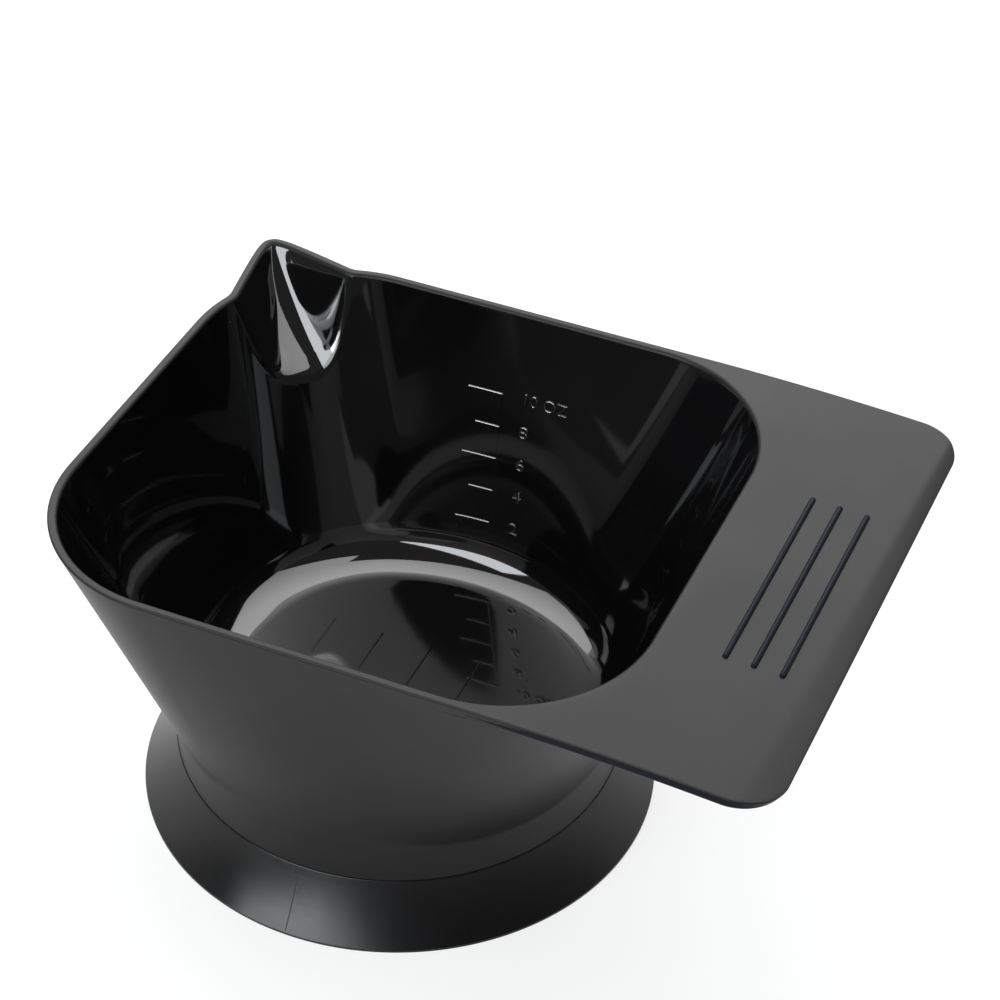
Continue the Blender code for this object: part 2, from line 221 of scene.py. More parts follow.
# How finely the bowl's surface is divided, from the middle of the floor to the underside
DIRECTIONS = 720
CLOSEST_DIRECTIONS = math.radians(0.08)
FLOOR_SHARES = (0.04, 0.2, 0.4, 0.6, 0.8, 0.92)
FILLET_RINGS = 19
FLOOR_RING_COUNT = len(FLOOR_SHARES) + FILLET_RINGS
LOW_WALL_STEPS = 22
SPOUT_STEPS = 56
EDGE_STEPS = 6
TOP_STEPS = 12
LIP_STEPS = 12
LIP_ROOM = 1.3  # width of the close rings over the lip, as a share of the lip's
SIDE_STEPS = 14
LOW_EDGE_STEPS = 5
UNDER_STEPS = 8
ROOT_STEPS = 5
OUTER_WALL_STEPS = 14
CREASE_ZONE = 8 * MM  # height above the floor below which the rings are close for the crease
CREASE_STEPS = 40
FOOT_STEPS = 4
UNDERSIDE_SHARES = (0.7, 0.35)

# The same for the base and for the raised lines
BASE_DIRECTIONS = 360
MEMBRANE_STEPS = 12
PLUG_STEPS = 4
LIP_EDGE_STEPS = 3
SKIRT_STEPS = 32
SKIRT_EDGE_STEPS = 4
PARTING_STATIONS = 30
RIDGE_STATIONS = 24
RIDGE_END_STEPS = 6
RIDGE_ARC_STEPS = 10
RIDGE_TIP = 0.02  # share of its section that a raised line keeps at its very end
RIDGE_SINK = 0.2 * MM  # of a raised line's foot into the surface

# Heights and outlines that follow from the sizes above
FLOOR_UNDERSIDE = BASE_HEIGHT + FOOT_SPACE
FLOOR_HEIGHT = FLOOR_UNDERSIDE + FLOOR_THICKNESS
RIM_HEIGHT = FLOOR_HEIGHT + BOWL_DEPTH
BODY_RADIUS = FLOOR_RADIUS + WALL_AT_FLOOR
FOOT_RADIUS = BODY_RADIUS + FOOT_STEP
FOOT_BOTTOM = BASE_HEIGHT - FOOT_SINK
FOOT_INSIDE = FOOT_RADIUS - FOOT_WALL
OPENING = (
    OPENING_SHIFT - OPENING_LENGTH / 2,
    OPENING_SHIFT + OPENING_LENGTH / 2,
    OPENING_WIDTH / 2,
    OPENING_CORNER,
    OPENING_CORNER,
)
RIM = (
    OPENING[0] - WALL_AT_RIM,
    OPENING[1] + WALL_AT_RIM,
    OPENING[2] + WALL_AT_RIM,
    OPENING_CORNER + WALL_AT_RIM,
    OPENING_CORNER + WALL_AT_RIM,
)
HANDLE_END = RIM[1] + HANDLE_REACH
PLATE = (RIM[0], HANDLE_END, RIM[2], RIM[3], HANDLE_CORNER)


def reach(outline, angle):
    """Distance from the axis to a rounded rectangle, for an array of directions."""
    low, high, half_width, low_corner, high_corner = outline
    along = np.cos(angle)
    across = np.maximum(np.abs(np.sin(angle)), TINY)
    side_x = along * half_width / across
    towards_high = side_x > (low + high) / 2
    end = np.where(towards_high, high, low)
    corner = np.where(towards_high, high_corner, low_corner)
    centre_x = np.where(towards_high, high - corner, low + corner)
    centre_y = half_width - corner
    facing = along * centre_x + across * centre_y
    inside = facing**2 - centre_x**2 - centre_y**2 + corner**2
    at_corner = facing + np.sqrt(np.maximum(inside, 0.0))
    at_end = end / np.where(np.abs(along) < TINY, TINY, along)
    result = np.where(np.abs(across * at_end) <= centre_y, at_end, at_corner)
    on_side = (side_x >= low + low_corner) & (side_x <= high - high_corner)
    return np.where(on_side, half_width / across, result)


def blend(first, second, width):
    """The larger of two lengths, rounded off where they are nearly alike."""
    share = np.maximum(0.0, width - np.abs(first - second)) / width
    return np.maximum(first, second) + share * share * width / 4


def wall_radius(outline, floor_radius, angle, height):
    """Straight loft from a circle at the floor to an outline at the rim."""
    share = (height - FLOOR_HEIGHT) / BOWL_DEPTH
    return floor_radius + (reach(outline, angle) - floor_radius) * share


def two_folds(share, turn, fold):
    """A section with a level floor and two plain sides that turn up from it softly."""
    return np.sqrt((share - turn) ** 2 + fold**2) + np.sqrt((share + turn) ** 2 + fold**2)


def trough_height(along, across, grow):
    """Height of the spout's trough at a place, or of its outside, grown by the spout's wall."""
    start_height = RIM_HEIGHT - SPOUT_DROP
    start = float(wall_radius(OPENING, FLOOR_RADIUS, np.array(SPOUT_DIRECTION), start_height))
    length = SPOUT_TIP - start
    fall = SPOUT_DROP / length
    to_tip = SPOUT_TIP + grow - along
    before = np.maximum(to_tip, TINY)
    drop = fall * before * (1 + SPOUT_BOW - SPOUT_BOW * before / length)
    to_wall = np.minimum(1.0, before / length)
    lean = SPOUT_LEAN * to_wall * (1 - to_wall / SPOUT_LEAN_END)
    lean = np.maximum(lean, -SPOUT_LEAN_BACK)
    from_line = across - lean
    far_side = from_line < 0
    spread = np.where(far_side, SPOUT_FAR_SPREAD, SPOUT_SPREAD)
    bow = (SPOUT_TIP_ROUND + SPOUT_TIP_GAIN * grow) / spread**2
    half_width = spread * np.sqrt(before**2 + 2 * bow * before)
    wall_floor = np.where(far_side, SPOUT_FAR_WALL_FLOOR, SPOUT_WALL_FLOOR)
    turn = SPOUT_TIP_FLOOR + (wall_floor - SPOUT_TIP_FLOOR) * to_wall
    near_fold = SPOUT_TIP_FOLD + (SPOUT_FOLD - SPOUT_TIP_FOLD) * to_wall**SPOUT_FOLD_POWER
    far_fold = SPOUT_FAR_TIP_FOLD + (SPOUT_FOLD - SPOUT_FAR_TIP_FOLD) * to_wall
    fold = np.where(far_side, far_fold, near_fold) * half_width
    # The lowest line leans to one side, which makes that side narrower and the other wider
    shift = np.where(far_side, lean, -lean)
    turn = np.maximum(0.0, turn * half_width + shift)
    half_width = half_width + shift
    turn = turn / half_width
    fold = fold / half_width
    share = np.maximum(0.0, np.abs(from_line) - SPOUT_TIP_FLAT * grow) / half_width
    floor = two_folds(0.0, turn, fold)
    side = (two_folds(share, turn, fold) - floor) / (two_folds(1.0, turn, fold) - floor)
    trough = RIM_HEIGHT - drop * (1 - side)
    return np.where(to_tip <= 0, RIM_HEIGHT + fall * (MM - to_tip), trough)


def trough_radius(angle, height, grow):
    """Distance from the axis to the trough at one height, by halving, or 0 away from the spout."""
    turn = angle - SPOUT_DIRECTION
    cosine = np.cos(turn)
    sine = np.sin(turn)
    near = np.full(angle.shape, FLOOR_RADIUS)
    far = np.full(angle.shape, SPOUT_TIP + 4 * grow + MM)
    away = (cosine < SPOUT_SECTOR) | (trough_height(near * cosine, near * sine, grow) > height)
    for _ in range(TROUGH_HALVINGS):
        middle = (near + far) / 2
        above = trough_height(middle * cosine, middle * sine, grow) > height
        far = np.where(above, middle, far)
        near = np.where(above, near, middle)
    return np.where(away, 0.0, near)


def spout_blend(height):
    """Width of the rounding between the trough and the wall."""
    below = np.clip((RIM_HEIGHT - height) / SPOUT_DROP, 0.0, 1.0)
    return SPOUT_RIM_BLEND + (SPOUT_BLEND - SPOUT_RIM_BLEND) * below


def inside_radius(angle, height):
    wall = wall_radius(OPENING, FLOOR_RADIUS, angle, height)
    return blend(wall, trough_radius(angle, height, 0.0), spout_blend(height))


def outside_radius(angle, height):
    wall = wall_radius(RIM, BODY_RADIUS, angle, height)
    wall = blend(wall, trough_radius(angle, height, SPOUT_WALL), spout_blend(height))
    return blend(wall, foot_radius(height), FOOT_CREASE)


def foot_radius(height):
    return FOOT_RADIUS + FOOT_DRAFT * (height - BASE_HEIGHT)


def plate_height(x):
    """Height of the rim and of the handle, which bends down towards its end."""
    bend = np.maximum(0.0, x - HANDLE_END + HANDLE_BEND_LENGTH) / HANDLE_BEND_LENGTH
    return RIM_HEIGHT - HANDLE_BEND_DROP * bend**2


def top_height(x, y):
    """The same for the top alone, with the soft lip at its end, which is wider at the front."""
    to_front = np.clip(0.5 - y / (2 * RIM[2]), 0.0, 1.0)
    length = HANDLE_LIP_BACK + (HANDLE_LIP_FRONT - HANDLE_LIP_BACK) * to_front
    lip = np.maximum(0.0, x - HANDLE_END + length) / length
    return plate_height(x) - HANDLE_LIP_DROP * lip**HANDLE_LIP_POWER


def rounded(first, corner, last, steps):
    """Rings of a soft edge that leaves along first to corner and arrives along corner to last."""
    rings = []
    for share in np.linspace(0.0, 1.0, steps + 1):
        weights = ((1 - share) ** 2, 2 * share * (1 - share), share**2)
        rings.append(tuple(
            weights[0] * first[axis] + weights[1] * corner[axis] + weights[2] * last[axis]
            for axis in (0, 1)
        ))
    return rings


def bowl_directions():
    """Steps round the bowl, finer at the spout and at the handle's corners."""
    corner = math.atan2(PLATE[2] - HANDLE_CORNER / 3, HANDLE_END - HANDLE_CORNER / 3)
    parts = [np.linspace(0.0, 2 * math.pi, DIRECTIONS + 1)[:-1]]
    for middle, half_span, count in (
        (SPOUT_DIRECTION, math.radians(18.0), 181),
        (SPOUT_DIRECTION, math.radians(6.0), 121),
        (corner, math.radians(6.0), 81),
        (2 * math.pi - corner, math.radians(6.0), 81),
    ):
        parts.append(np.linspace(middle - half_span, middle + half_span, count))
    angles = np.sort(np.concatenate(parts) % (2 * math.pi))
    keep = np.concatenate([[True], np.diff(angles) > CLOSEST_DIRECTIONS])
    return angles[keep]


def inside_rings(angle):
    """The polished inside, from the floor up to the inner edge of the rim."""
    lean = np.arctan((reach(OPENING, angle) - FLOOR_RADIUS) / BOWL_DEPTH)
    sweep = math.pi / 2 - lean
    centre = FLOOR_RADIUS - FLOOR_FILLET * np.tan(sweep / 2)
    flat = np.full(angle.shape, FLOOR_HEIGHT)
    rings = [(centre * share, flat) for share in FLOOR_SHARES]
    for turn in (sweep * share for share in np.linspace(0.0, 1.0, FILLET_RINGS)):
        radius = centre + FLOOR_FILLET * np.sin(turn)
        rings.append((radius, FLOOR_HEIGHT + FLOOR_FILLET * (1 - np.cos(turn))))
    low = rings[-1][1]
    middle = RIM_HEIGHT - SPOUT_DROP - 2 * SPOUT_BLEND
    inner = inside_radius(angle, RIM_HEIGHT)
    top = top_height(inner * np.cos(angle), inner * np.sin(angle))
    high = top - EDGE_ROUND
    for share in np.linspace(0.0, 1.0, LOW_WALL_STEPS + 1)[1:]:
        height = low + (middle - low) * share
        rings.append((inside_radius(angle, height), height))
    for share in np.linspace(0.0, 1.0, SPOUT_STEPS + 1)[1:-1]:
        height = middle + (high - middle) * share
        rings.append((inside_radius(angle, height), height))
    crest = inner + EDGE_ROUND
    crest_top = top_height(crest * np.cos(angle), crest * np.sin(angle))
    start = (inside_radius(angle, high), high)
    return rings + rounded(start, (inner, top), (crest, crest_top), EDGE_STEPS)


def outside_rings(angle):
    """The satin outside: rim or handle, the wall, the foot and the floor's underside."""
    along = np.cos(angle)
    across = np.sin(angle)
    flat = np.zeros(angle.shape)
    inner = inside_radius(angle, RIM_HEIGHT) + EDGE_ROUND
    body = outside_radius(angle, RIM_HEIGHT)
    overhang = reach(PLATE, angle) - reach(RIM, angle)
    outer = body + overhang
    width = outer - EDGE_ROUND - inner
    lip = np.minimum(HANDLE_LIP_FRONT * LIP_ROOM, width / 3)
    rings = []
    for share in np.linspace(0.0, 1.0, TOP_STEPS + 1)[1:]:
        radius = inner + (width - lip) * share
        rings.append((radius, top_height(radius * along, radius * across)))
    for share in np.linspace(0.0, 1.0, LIP_STEPS + 1)[1:-1]:
        radius = inner + width - lip + lip * share
        rings.append((radius, top_height(radius * along, radius * across)))

    end_height = plate_height(outer * along)
    end_lip = end_height - top_height(outer * along, outer * across)
    body_height = plate_height(body * along)

    def side(depth, inset=0.0):
        radius = outside_radius(angle, body_height - depth) + overhang - inset
        return (radius, end_height - depth)

    crest = outer - EDGE_ROUND
    start = (crest, top_height(crest * along, crest * across))
    rings += rounded(start, (outer, end_height - end_lip), side(EDGE_ROUND + end_lip), EDGE_STEPS)
    low_edge = HANDLE_THICKNESS - EDGE_ROUND
    for share in np.linspace(0.0, 1.0, SIDE_STEPS + 1)[1:-1]:
        rings.append(side(EDGE_ROUND + end_lip + (low_edge - EDGE_ROUND - end_lip) * share))
    # The lower edge and the root's fillet grow with the overhang, because the bare rim has neither
    inset = EDGE_ROUND * np.minimum(1.0, overhang / (4 * EDGE_ROUND))
    end = side(HANDLE_THICKNESS, inset)
    rings += rounded(side(low_edge), side(HANDLE_THICKNESS), end, LOW_EDGE_STEPS)

    fillet = HANDLE_ROOT_FILLET
    full = np.minimum(1.0, overhang / (3 * fillet))

    def under(out, level, bare_level):
        depth = HANDLE_THICKNESS + fillet * (full * level + (1 - full) * bare_level)
        radius = outside_radius(angle, body_height - depth) + np.maximum(0.0, full * out)
        return (radius, plate_height(radius * along) - depth)

    for share in np.linspace(0.0, 1.0, UNDER_STEPS + 1)[1:-1]:
        out = overhang - EDGE_ROUND + (fillet - overhang + EDGE_ROUND) * share
        rings.append(under(out, 0.0, 0.5 * share))
    root = under(0.0, 1.0, 1.0)
    rings += rounded(under(fillet, 0.0, 0.5), under(0.0, 0.0, 0.75), root, ROOT_STEPS)

    high = rings[-1][1]
    middle = RIM_HEIGHT - SPOUT_DROP - SPOUT_WALL - 3 * SPOUT_BLEND
    crease = FLOOR_HEIGHT + CREASE_ZONE
    for start_at, end_at, count in (
        (high, middle, SPOUT_STEPS),
        (middle, crease, OUTER_WALL_STEPS),
        (crease, BASE_HEIGHT, CREASE_STEPS),
        (BASE_HEIGHT, FOOT_BOTTOM + EDGE_ROUND, FOOT_STEPS),
    ):
        for share in np.linspace(0.0, 1.0, count + 1)[1:]:
            height = start_at + (end_at - start_at) * share + flat
            rings.append((outside_radius(angle, height), height))
    foot = foot_radius(FOOT_BOTTOM) + flat
    ground = FOOT_BOTTOM + flat
    rings += rounded(rings[-1], (foot, ground), (foot - EDGE_ROUND, ground), FOOT_STEPS)[1:]
    for height in (FOOT_BOTTOM, FOOT_BOTTOM + FOOT_SINK / 2, FLOOR_UNDERSIDE):
        rings.append((FOOT_INSIDE + flat, height + flat))
    for share in UNDERSIDE_SHARES:
        rings.append((FOOT_INSIDE * share + flat, FLOOR_UNDERSIDE + flat))
    return rings


def smooth(mesh, degrees=35.0):
    mesh.shade_smooth()
    mesh.set_sharp_from_angle(angle=math.radians(degrees))


def put(name, verts, faces, looks, indices=None):
    """A mesh object from points and faces, with its materials."""
    mesh = bpy.data.meshes.new(name)
    mesh.from_pydata([tuple(point) for point in verts], [], faces)
    mesh.validate()
    for look in looks:
        mesh.materials.append(look)
    if indices is not None:
        mesh.polygons.foreach_set("material_index", indices)
    smooth(mesh)
    made = bpy.data.objects.new(name, mesh)
    bpy.context.scene.collection.objects.link(made)
    return made


def skinned(name, rings, angle, first_height, last_height, looks, look_of):
    """Closes rings about the axis into one body, from its first to its last height on the axis.

    look_of gives the numbers of a ring's looks, one for each direction. The first look closes the
    body at its start and the last one at its end.
    """
    count = len(angle)
    points = [(0.0, 0.0, first_height), (0.0, 0.0, last_height)]
    for radius, height in rings:
        xs = radius * np.cos(angle)
        ys = radius * np.sin(angle)
        points += zip(xs.tolist(), ys.tolist(), np.broadcast_to(height, xs.shape).tolist())
    faces = []
    indices = []
    for here in range(count):
        there = (here + 1) % count
        faces.append((0, 2 + here, 2 + there))
        indices.append(0)
    for ring in range(len(rings) - 1):
        low = 2 + ring * count
        for here in range(count):
            there = (here + 1) % count
            faces.append((low + here, low + count + here, low + count + there, low + there))
        indices += np.broadcast_to(look_of(ring), (count,)).tolist()
    last = 2 + (len(rings) - 1) * count
    for here in range(count):
        there = (here + 1) % count
        faces.append((last + here, 1, last + there))
        indices.append(len(looks) - 1)
    return put(name, points, faces, looks, indices)


def ridge(name, path, normals, half_width, height, look):
    """A half-round raised line along points on a surface, with round ends and a sunk foot."""
    path = [Vector(point) for point in path]
    length = [0.0]
    for here, there in zip(path, path[1:]):
        length.append(length[-1] + (there - here).length)
    total = length[-1]
    arc = [math.pi * step / RIDGE_ARC_STEPS for step in range(RIDGE_ARC_STEPS + 1)]
    verts = []
    for step, point in enumerate(path):
        ahead = path[min(step + 1, len(path) - 1)] - path[max(step - 1, 0)]
        normal = Vector(normals[step]).normalized()
        side = ahead.normalized().cross(normal).normalized()
        to_end = min(length[step], total - length[step]) / half_width
        taper = math.sqrt(max(0.0, 1 - max(0.0, 1 - to_end) ** 2))
        taper = max(taper, RIDGE_TIP)
        section = [(half_width, -RIDGE_SINK)]
        section += [(half_width * math.cos(turn), height * math.sin(turn)) for turn in arc]
        section.append((-half_width, -RIDGE_SINK))
        for out, up in section:
            rise = up * taper if up > 0 else up
            verts.append(point + side * out * taper + normal * rise)
    size = len(arc) + 2
    faces = []
    for step in range(len(path) - 1):
        low = step * size
        for item in range(size):
            other = (item + 1) % size
            faces.append((low + item, low + size + item, low + size + other, low + other))
    faces.append(tuple(range(size)))
    faces.append(tuple(reversed(range((len(path) - 1) * size, len(path) * size))))
    return put(name, verts, faces, [look])


def end_spaced(low, high, half_width):
    """Stations along a raised line, close together at its round ends."""
    turns = [math.pi / 2 * step / RIDGE_END_STEPS for step in range(RIDGE_END_STEPS + 1)]
    ends = [half_width * (1 - math.cos(turn)) for turn in turns]
    middle = np.linspace(low + half_width, high - half_width, RIDGE_STATIONS)[1:-1]
    return [low + end for end in ends] + middle.tolist() + [high - end for end in reversed(ends)]


def far_wall(x, height):
    """A point of the inside of the far wall, the wall's normal there and its way up."""
    def place(x, height):
        share = (height - FLOOR_HEIGHT) / BOWL_DEPTH
        y = OPENING[2]
        for _ in range(FAR_WALL_ROUNDS):
            y = FLOOR_RADIUS * (1 - share) * y / math.hypot(x, y) + OPENING[2] * share
        return Vector((x, y, height))

    step = FAR_WALL_STEP
    across = place(x + step, height) - place(x - step, height)
    up = place(x, height + step) - place(x, height - step)
    return place(x, height), across.cross(up).normalized(), up.normalized()


class Nodes:
    """Short ways to add nodes to a material's or the world's tree."""

    def __init__(self, owner):
        owner.use_nodes = True
        self.tree = owner.node_tree
        self.tree.nodes.clear()

    def add(self, kind, **settings):
        node = self.tree.nodes.new(kind)
        for name, value in settings.items():
            setattr(node, name, value)
        return node

    def join(self, source, target):
        self.tree.links.new(source, target)

    def noise(self, vector, scale, detail, roughness=0.5):
        node = self.add("ShaderNodeTexNoise")
        node.inputs["Scale"].default_value = scale
        node.inputs["Detail"].default_value = detail
        node.inputs["Roughness"].default_value = roughness
        self.join(vector, node.inputs["Vector"])
        return node.outputs["Fac"]

    def between(self, value, low, high, start=0.3, end=0.7):
        node = self.add("ShaderNodeMapRange")
        node.inputs["From Min"].default_value = start
        node.inputs["From Max"].default_value = end
        node.inputs["To Min"].default_value = low
        node.inputs["To Max"].default_value = high
        self.join(value, node.inputs["Value"])
        return node.outputs["Result"]

    def colours(self, factor, first, second):
        node = self.add("ShaderNodeMix", data_type="RGBA")
        node.inputs["A"].default_value = (*first, 1.0)
        node.inputs["B"].default_value = (*second, 1.0)
        self.join(factor, node.inputs["Factor"])
        return node.outputs["Result"]

    def round_axis(self, place):
        """Coordinates that hardly change on the way round the axis, for marks that run round it."""
        parts = self.add("ShaderNodeSeparateXYZ")
        self.join(place, parts.inputs["Vector"])
        flat = self.add("ShaderNodeVectorMath", operation="MULTIPLY")
        flat.inputs[1].default_value = (1.0, 1.0, 0.0)
        self.join(place, flat.inputs[0])
        radius = self.add("ShaderNodeVectorMath", operation="LENGTH")
        self.join(flat.outputs["Vector"], radius.inputs[0])
        slow = self.add("ShaderNodeMath", operation="MULTIPLY")
        slow.inputs[1].default_value = STREAK_DRIFT
        self.join(parts.outputs["X"], slow.inputs[0])
        made = self.add("ShaderNodeCombineXYZ")
        self.join(radius.outputs["Value"], made.inputs["X"])
        self.join(slow.outputs["Value"], made.inputs["Y"])
        self.join(parts.outputs["Z"], made.inputs["Z"])
        return made.outputs["Vector"]

    def bump(self, height, strength, distance, before=None):
        node = self.add("ShaderNodeBump")
        node.inputs["Strength"].default_value = strength
        node.inputs["Distance"].default_value = distance
        self.join(height, node.inputs["Height"])
        if before is not None:
            self.join(before, node.inputs["Normal"])
        return node.outputs["Normal"]


def finish_of(name, dark, light, roughness, grain, wave, ior, specks=0.0, streaks=0.0):
    """A moulded black finish: cloudy colour, uneven gloss, fine grain and slow waves."""
    made = bpy.data.materials.new(name)
    nodes = Nodes(made)
    place = nodes.add("ShaderNodeTexCoord").outputs["Object"]
    shader = nodes.add("ShaderNodeBsdfPrincipled")
    shader.inputs["IOR"].default_value = ior
    cloud = nodes.between(nodes.noise(place, CLOUD_SCALE, detail=4.0), 0.0, 1.0)
    colour = nodes.colours(cloud, dark, light)
    if specks:
        dots = nodes.add("ShaderNodeTexVoronoi")
        dots.inputs["Scale"].default_value = SPECK_SCALE
        nodes.join(place, dots.inputs["Vector"])
        near = nodes.between(dots.outputs["Distance"], 1.0, 0.0, start=0.012, end=0.03)
        patches = nodes.noise(place, SPECK_CHOICE_SCALE, detail=0.0)
        chosen = nodes.between(patches, 0.0, specks, start=0.62, end=0.7)
        both = nodes.add("ShaderNodeMath", operation="MULTIPLY")
        nodes.join(near, both.inputs[0])
        nodes.join(chosen, both.inputs[1])
        mixed = nodes.add("ShaderNodeMix", data_type="RGBA")
        mixed.inputs["B"].default_value = SPECK_COLOUR
        nodes.join(both.outputs["Value"], mixed.inputs["Factor"])
        nodes.join(colour, mixed.inputs["A"])
        colour = mixed.outputs["Result"]
    nodes.join(colour, shader.inputs["Base Color"])
    uneven = nodes.noise(place, UNEVEN_SCALE, detail=5.0, roughness=0.6)
    nodes.join(nodes.between(uneven, roughness[0], roughness[1]), shader.inputs["Roughness"])
    slow = nodes.bump(nodes.noise(place, WAVE_SCALE, detail=1.0), wave, WAVE_DEPTH)
    if streaks:
        drawn = nodes.noise(nodes.round_axis(place), STREAK_SCALE, detail=3.0)
        slow = nodes.bump(drawn, streaks, GRAIN_DEPTH, slow)
    fine = nodes.bump(nodes.noise(place, GRAIN_SCALE, detail=2.0), grain, GRAIN_DEPTH, slow)
    nodes.join(fine, shader.inputs["Normal"])
    output = nodes.add("ShaderNodeOutputMaterial")
    nodes.join(shader.outputs["BSDF"], output.inputs["Surface"])
    return made


def make_bowl(polished, wall_look, satin, edge_shade_look):
    angle = bowl_directions()
    inside = inside_rings(angle)
    outside = outside_rings(angle)

    looks = [polished, wall_look, edge_shade_look, satin]
    number_polished, number_wall, number_edge_shade, number_satin = range(len(looks))
    edge_from = len(inside) + TOP_STEPS + LIP_STEPS + EDGE_STEPS // 2
    edge_upper = EDGE_STEPS - EDGE_STEPS // 2 - 1
    edge_to = edge_from + edge_upper + SIDE_STEPS + LOW_EDGE_STEPS - 1
    overhang = reach(PLATE, angle) - reach(RIM, angle)

    def look_of(ring):
        # Where the handle overhangs, its side gets the darker edge copy of the satin: painted shade
        # in place of the shaded floor that it mirrors.
        if edge_from <= ring <= edge_to:
            from_middle = abs(2 * ring - edge_from - edge_to) / (edge_to - edge_from)
            dark = overhang > EDGE_SHADE_START + EDGE_SHADE_TAPER * from_middle
            return np.where(dark, number_edge_shade, number_satin)
        if ring >= len(inside) - EDGE_STEPS - 1:
            return number_satin
        height = inside[ring][1]
        wall = wall_radius(OPENING, FLOOR_RADIUS, angle, height)
        in_trough = trough_radius(angle, height, 0.0) > wall
        return np.where(in_trough | (ring < FLOOR_RING_COUNT), number_polished, number_wall)

    rings = inside + outside
    bowl = skinned("bowl_shell", rings, angle, FLOOR_HEIGHT, FLOOR_UNDERSIDE, looks, look_of)
    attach(bowl, "bowl")
    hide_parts("bowl")


def on_bowl(piece):
    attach(piece, "bowl")


def straight_rib(name, x, height, normal, length, half_width, rise, look):
    """A raised line across the bowl at one place along it."""
    ys = end_spaced(-length / 2, length / 2, half_width)
    path = [(x, y, height) for y in ys]
    on_bowl(ridge(name, path, [normal] * len(ys), half_width, rise, look))


def make_ribs(rib_shade_look, polished):
    for number in range(GRIP_RIBS):
        x = HANDLE_END - GRIP_RIB_SETBACK - number * GRIP_RIB_PITCH
        slope = float(top_height(x + MM, 0.0) - top_height(x - MM, 0.0)) / (2 * MM)
        straight_rib(
            f"grip_rib_{number + 1}", x, float(top_height(x, 0.0)), Vector((-slope, 0.0, 1.0)),
            GRIP_RIB_LENGTH, GRIP_RIB_HALF_WIDTH, GRIP_RIB_HEIGHT, rib_shade_look,
        )
    for number in range(FLOOR_RIBS):
        x = (number - (FLOOR_RIBS - 1) / 2) * FLOOR_RIB_PITCH
        straight_rib(
            f"floor_rib_{number + 1}", x, FLOOR_HEIGHT, UP,
            FLOOR_RIB_LENGTH, FLOOR_RIB_HALF_WIDTH, FLOOR_RIB_HEIGHT, polished,
        )


def wall_line(name, places, half_width, rise, look):
    """A raised line through places on the far wall."""
    points, normals, _ = zip(*places)
    on_bowl(ridge(name, points, normals, half_width, rise, look))


def make_scale(look, line_look):
    for text, height in MARK_HEIGHTS.items():
        word = text.split()[0]
        start = -LONG_MARK if text in LONG_MARKS else -SHORT_MARK
        places = [far_wall(x, height) for x in end_spaced(start, 0.0, MARK_HALF_WIDTH)]
        wall_line(f"scale_mark_{word}", places, MARK_HALF_WIDTH, MARK_HEIGHT, look)
        on_bowl(raised_text(f"scale_number_{word}", text, height, look))
    low = min(MARK_HEIGHTS.values())
    high = max(MARK_HEIGHTS.values())
    places = [far_wall(0.0, height) for height in end_spaced(low, high, MARK_LINE_HALF_WIDTH)]
    wall_line("scale_line", places, MARK_LINE_HALF_WIDTH, MARK_LINE_HEIGHT, line_look)


def raised_text(name, text, height, look):
    """Raised figures on the far wall, bent to follow it."""
    curve = bpy.data.curves.new(name, "FONT")
    curve.body = text
    curve.size = NUMBER_SIZE / CAPITAL_SHARE
    curve.align_y = "CENTER"
    curve.extrude = NUMBER_HEIGHT
    curve.bevel_depth = NUMBER_BEVEL
    curve.bevel_resolution = 3
    curve.offset = -NUMBER_THINNING * NUMBER_BEVEL
    flat = bpy.data.objects.new(name + "_text", curve)
    bpy.context.scene.collection.objects.link(flat)
    bpy.context.view_layer.update()
    depsgraph = bpy.context.evaluated_depsgraph_get()
    mesh = bpy.data.meshes.new_from_object(flat.evaluated_get(depsgraph))
    bpy.data.objects.remove(flat)
    stretch = FIGURE_STRETCH if len(text) == 1 else 1.0
    for vert in mesh.vertices:
        x, y, out = vert.co
        point, normal, up = far_wall(NUMBER_START + stretch * x, height)
        vert.co = point + up * y + normal * out
    mesh.materials.clear()
    mesh.materials.append(look)
    smooth(mesh, NUMBER_CREASE)
    made = bpy.data.objects.new(name, mesh)
    bpy.context.scene.collection.objects.link(made)
    return made


def skirt_place(share):
    """Radius and height on the skirt's slightly hollow outside, from its top to its edge."""
    top = foot_radius(BASE_HEIGHT) + LIP_FIT + LIP_WIDTH
    lip_top = BASE_HEIGHT - LIP_DROP
    edge = FOOT_RADIUS + SKIRT_FLARE
    bow = SKIRT_HOLLOW * 4 * share * (1 - share)
    radius = top + (edge - top) * share - bow
    return radius, lip_top + (SKIRT_EDGE_HEIGHT - lip_top) * share


